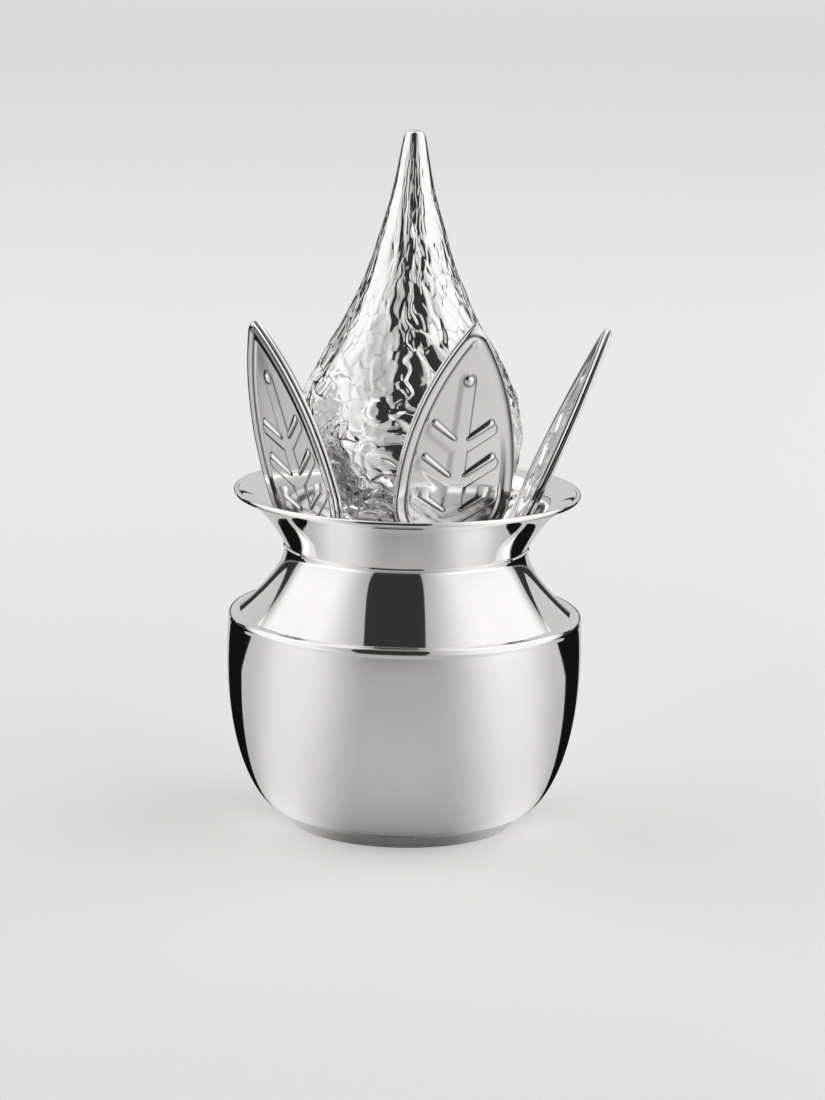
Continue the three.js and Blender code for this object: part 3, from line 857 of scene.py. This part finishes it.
def husk_relief(angle, v, radius, rise):
    """Chased relief of the husk and its creases: plates low down that draw out into fibres near the tip."""
    aside = angle + math.pi / 2
    calm, bold, broken, belly = husk_zones(aside, rise)
    lean = bell(aside, 0.5, 0.6) * np.tanh((rise - 22) / 12)
    drift = 0.09 * perlin(*around(angle, v, 9, 10, 1)) + 0.06 * perlin(*around(angle, v, 40, 3, 2))
    bent = angle + 0.36 * lean + drift
    slide = 2.0 * perlin(*around(angle, v, 12, 10, 3)) + 0.8 * perlin(*around(angle, v, 40, 3, 4))
    lumps, lump_edge = plates(*around(bent, v + slide, *LUMPS, 5), level=0.08, tilt=0.4)
    flakes, flake_edge = plates(*around(bent, v + 2 * slide, *FLAKES, 6), level=0.09, tilt=0.5)
    fibres = perlin(*around(bent, v + slide, *FIBRES, 7))
    fine = perlin(*around(bent, v + slide, *FINE_MARKS, 8))
    swell = perlin(*around(angle, v + slide, *SWELLS, 9))
    low = 1 - smooth_step(rise, 2, 20)
    size = np.clip(radius / 12.3, 0.1, 1.6)
    relief = low * (1 + 1.8 * broken) * lumps
    relief = relief + (1 - low) * size * (bold * flakes + 0.12 * (1 + 0.6 * calm) * fibres)
    relief = relief + 0.16 * size * swell * (1 - 0.5 * calm)
    relief = relief + 0.055 * np.minimum(size, 1) * fine * (1 - 0.4 * calm + 1.6 * broken)
    relief = relief + 0.5 * np.minimum(size, 1.5) * np.sin(4 * aside) * bell(aside, 0, 1)
    relief = relief + 0.5 * belly * (bell(aside, 0, 0.25) - 0.5)
    return relief, low * lump_edge + (1 - low) * flake_edge * np.minimum(size, 1) * (1 - 0.2 * calm)


def eye_dimple(turn, radius, height):
    """How near each point is to the eye dimple, and the dimple's own relief."""
    across = (turn - math.radians(EYE_TURN_DEGREES)) * radius
    away = np.hypot(across, height - EYE_HEIGHT) / EYE_RADIUS
    near = np.exp(-((away / 1.3) ** 4))
    return near, EYE_LIP * bell(away, 1.2, 0.22) - EYE_DEPTH * (1 - smooth_step(away, 0.1, 1.1))


def husk_surface(profile, along):
    """Points of the husk's chased outside in rings, angles round it, and a crease depth for each point."""
    r, z = profile[:, 0], profile[:, 1]
    turn, v = np.meshgrid(np.arange(HUSK_COLUMNS) / HUSK_COLUMNS * TURN - math.pi, along)
    radius = np.repeat(r[:, None], HUSK_COLUMNS, 1)
    height = np.repeat(z[:, None], HUSK_COLUMNS, 1)
    angle = turn - math.pi / 2
    rise = height - COCONUT_CENTRE
    relief, crease = husk_relief(angle, v, radius, rise)
    near, dimple = eye_dimple(turn, radius, height)
    relief = relief * (1 - near) + dimple
    fade = smooth_step(v[-1] - v, 0.5, 7.0) * smooth_step(v, 0.0, 1.5)
    limit = np.where(relief > 0, CHASING_HEIGHT, CHASING_DEPTH)
    relief = limit * np.tanh(relief / limit) * fade
    slope_r, slope_z = np.gradient(r), np.gradient(z)
    length = np.hypot(slope_r, slope_z)
    out_r = radius + relief * (slope_z / length)[:, None]
    out_z = height - relief * (slope_r / length)[:, None]
    points = np.stack([out_r * np.cos(angle), out_r * np.sin(angle), out_z], -1) * MM
    # Creases of the upper husk painted dark: partly patina, partly painted shade
    depth = HUSK_PATINA_AND_SHADE * smooth_step(rise, -12, 8) * crease**3 * (1 - near) * fade
    return points, angle[0], depth


def husk_faces(outer, inner):
    """Faces of the husk's outer and inner rings, joined at the seam and closed at both tips."""
    columns = HUSK_COLUMNS
    tip = outer * columns
    seam = tip + 1
    top = seam + inner * columns
    faces = []
    for j in range(outer - 1):
        a, b = j * columns, (j + 1) * columns
        for i in range(columns):
            k = (i + 1) % columns
            faces.append((a + i, a + k, b + k, b + i))
    last, inner_last = tip - columns, top - columns
    for i in range(columns):
        k = (i + 1) % columns
        faces.append((last + i, last + k, tip))
        faces.append((k, i, seam + i, seam + k))
        for a in range(seam, inner_last, columns):
            b = a + columns
            faces.append((a + k, a + i, b + i, b + k))
        faces.append((inner_last + k, inner_last + i, top))
    return faces


def make_husk():
    """Chased shell of the coconut, with a plain inner wall."""
    profile, along = coconut_profile(HUSK_ROWS)
    points, angles, depth = husk_surface(profile[:-1], along[:-1])
    vertices = [tuple(p) for p in points.reshape(-1, 3)]
    vertices.append((0, 0, profile[-1, 1] * MM))
    deep = [j for j in range(0, len(points), 12) if profile[j, 0] > 4]
    wall = [(profile[j, 0] - HUSK_WALL, profile[j, 1] - HUSK_WALL_DROP * min(j, 1)) for j in deep]
    for r, z in wall:
        vertices += [(r * math.cos(a) * MM, r * math.sin(a) * MM, z * MM) for a in angles]
    vertices.append((0, 0, (wall[-1][1] + 1) * MM))
    faces = husk_faces(len(points), len(wall))
    node, slot = "coconut_shell", "husk_silver"
    shell = new_piece("coconut_husk", vertices, faces, "coconut", [node], slot, husk, sharp=60)
    # The depth attribute tells the husk's material where to paint its creases dark: patina and painted shade
    values = np.zeros(len(vertices), np.float32)
    values[: depth.size] = depth.reshape(-1)
    shell.data.attributes.new("depth", "FLOAT", "POINT").data.foreach_set("value", values)


def make_cap(steps=24):
    """Rounded lower end that laps inside the husk, with a flat underside."""
    flat = COCONUT_CENTRE - COCONUT_LOWER * math.sqrt(1 - (COCONUT_FLAT / COCONUT_RADIUS) ** 2)
    heights = [flat + (CAP_SEAM - flat) * i / steps for i in range(steps + 1)]
    outside = [(lower_radius(height), height) for height in heights]
    lining = offset(outside, SHEET)
    lap = outside[-1][0] - SHEET - CAP_GAP
    top = CAP_SEAM + CAP_LAP
    cap = [(0, flat), *outside, (lap, CAP_SEAM), (lap, top), (lap - SHEET, top)]
    cap += [*reversed(lining[:-1]), (0, flat + SHEET)]
    new_piece("coconut_lower_cap", *turned(cap), "coconut", ["coconut_cap"], "husk_silver", polished)


def make_camera():
    """The photograph's viewpoint: a long lens a little above the pot, with its slight tilt."""
    data = bpy.data.cameras.new("camera")
    data.lens = CAMERA_LENS
    data.sensor_width = SENSOR_WIDTH
    data.sensor_fit = "AUTO"
    data.clip_start = 0.05
    data.clip_end = 50
    camera = bpy.data.objects.new("camera", data)
    bpy.context.scene.collection.objects.link(camera)
    yaw, pitch, roll = CAMERA_YAW, CAMERA_PITCH, CAMERA_ROLL
    right = Vector((math.cos(yaw), -math.sin(yaw), 0))
    ahead = Vector((math.sin(yaw) * math.cos(pitch), math.cos(yaw) * math.cos(pitch), -math.sin(pitch)))
    up = Vector((math.sin(yaw) * math.sin(pitch), math.cos(yaw) * math.sin(pitch), math.cos(pitch)))
    across = right * math.cos(roll) + up * math.sin(roll)
    upright = up * math.cos(roll) - right * math.sin(roll)
    turn = Matrix((across, upright, -ahead)).transposed().to_4x4()
    camera.matrix_world = Matrix.Translation(CAMERA_PLACE) @ turn
    bpy.context.scene.camera = camera


def stage_plane(name, corners, material):
    """A flat piece of the studio."""
    mesh = bpy.data.meshes.new(name)
    mesh.from_pydata(corners, [], [tuple(range(len(corners)))])
    plane = bpy.data.objects.new(name, mesh)
    bpy.context.scene.collection.objects.link(plane)
    plane.data.materials.append(material)
    return plane


def show_in_gloss_only(plane):
    for kind in ("camera", "diffuse", "shadow", "transmission"):
        setattr(plane, f"visible_{kind}", False)


def floor_glow(n, place):
    """Glow of the floor: pale behind the object for the camera, and in the metal pale at its sides only."""
    away = n.vectors("LENGTH", place)
    path = n.add("ShaderNodeLightPath").outputs
    seen = n.maths("MULTIPLY", path["Is Camera Ray"], n.ramp(away, 0.15, 3.0, 0.34, 0.66))
    parts = n.add("ShaderNodeSeparateXYZ", {"Vector": place}).outputs
    turn = n.maths("ARCTAN2", n.maths("ABSOLUTE", parts["X"]), n.maths("SUBTRACT", 0.0, parts["Y"]))
    rise = n.ramp(turn, 0.35, 1.1, 0.03, 0.46, smooth=True)
    fall = n.ramp(turn, 1.25, 1.9, 1.0, 0.25, smooth=True)
    mirrored = n.maths("MULTIPLY", path["Is Glossy Ray"], n.maths("MULTIPLY", rise, fall))
    return n.maths("ADD", seen, mirrored)


def make_floor():
    """Pale paper under and behind the object."""
    material, n, shader = new_material("floor_paper")
    place = n.place()
    fibre = n.noise(place, 900.0, 4.0)
    n.link(n.mix(fibre, (0.80, 0.795, 0.79, 1), (0.77, 0.765, 0.76, 1)), shader.inputs["Base Color"])
    shader.inputs["Roughness"].default_value = 0.9
    shader.inputs["Specular IOR Level"].default_value = 0.1
    shader.inputs["Emission Color"].default_value = (1, 0.995, 0.99, 1)
    n.link(floor_glow(n, place), shader.inputs["Emission Strength"])
    size = FLOOR_HALF_SIZE
    stage_plane("floor", [(-size, -size, 0), (size, -size, 0), (size, size, 0), (-size, size, 0)], material)


def make_flags():
    """Black flags on the floor behind the pot's sides, seen only in the metal as its dark edges."""
    material, _, shader = new_material("black_cloth")
    shader.inputs["Base Color"].default_value = (0.012, 0.011, 0.011, 1)
    shader.inputs["Roughness"].default_value = 1.0
    shader.inputs["Specular IOR Level"].default_value = 0.0
    for name, side in (("flag_left", -1), ("flag_right", 1)):
        corners = [(side * x, y, FLAG_HEIGHT) for x, y in FLAG_OUTLINE]
        show_in_gloss_only(stage_plane(name, corners, material))


def make_back_card():
    """A curved grey card far behind, seen only in the metal, so that the far side isn't lost in the dark."""
    material, _, shader = new_material("grey_card")
    shader.inputs["Base Color"].default_value = (0, 0, 0, 1)
    shader.inputs["Emission Color"].default_value = (1, 1, 1, 1)
    shader.inputs["Emission Strength"].default_value = CARD_LEVEL
    side = CARD_HALF_WIDTH
    for i, ((near, low), (far, high)) in enumerate(zip(CARD_LINE, CARD_LINE[1:])):
        corners = [(-side, near, low), (side, near, low), (side, far, high), (-side, far, high)]
        show_in_gloss_only(stage_plane(f"back_card_{i + 1}", corners, material))


def lamp_glow(tree):
    """Makes a lamp fade a little towards its edges."""
    n = Nodes(tree)
    place = n.add("ShaderNodeNewGeometry").outputs["Parametric"]
    parts = n.add("ShaderNodeSeparateXYZ", {"Vector": place}).outputs
    shares = []
    for axis, fade, least in LAMP_FADES:
        from_middle = n.maths("ABSOLUTE", n.maths("SUBTRACT", parts[axis], 0.5))
        shares.append(n.ramp(from_middle, 0.5, 0.5 - fade, least, 1.0, smooth=True))
    n.link(n.maths("MULTIPLY", *shares), tree.nodes["Emission"].inputs["Strength"])


def soft_box(name, low, high, outer):
    """A lamp that faces the object, with its inner edge between two points and its outer edge at a third."""
    low, high, outer = Vector(low), Vector(high), Vector(outer)
    up = (high - low).normalized()
    out = ((outer - low) - (outer - low).dot(up) * up).normalized()
    data = bpy.data.lights.new(name, "AREA")
    data.shape = "RECTANGLE"
    data.size = (outer - low).dot(out)
    data.size_y = (high - low).length
    data.energy = math.pi * data.size * data.size_y
    data.use_nodes = True
    lamp_glow(data.node_tree)
    back = out.cross(up)
    centre = low + out * data.size / 2 + up * data.size_y / 2
    if back.dot(centre) < 0:
        out, back = -out, -back
    lamp = bpy.data.objects.new(name, data)
    bpy.context.scene.collection.objects.link(lamp)
    lamp.matrix_world = Matrix.Translation(centre) @ Matrix((out, up, back)).transposed().to_4x4()
    lamp.visible_camera = False


def make_world():
    """Faint fill light, and a pale background that only the camera sees."""
    world = bpy.data.worlds.new("studio")
    bpy.context.scene.world = world
    world.use_nodes = True
    background = world.node_tree.nodes["Background"]
    background.inputs["Color"].default_value = (1, 0.99, 0.98, 1)
    n = Nodes(world.node_tree)
    seen = n.add("ShaderNodeLightPath").outputs["Is Camera Ray"]
    n.link(n.ramp(seen, 0.0, 1.0, FILL_LIGHT, BACKGROUND_LEVEL), background.inputs["Strength"])


make_foot()
make_bowl()
make_shoulder()
make_neck()
make_seat()
make_leaves()
make_husk()
make_cap()
make_camera()
make_floor()
make_flags()
make_back_card()
make_world()
for lamp_name, lamp_points in LAMPS.items():
    soft_box(lamp_name, *lamp_points)

scene = bpy.context.scene
scene.view_settings.view_transform = "Standard"
scene.cycles.glossy_bounces = 10
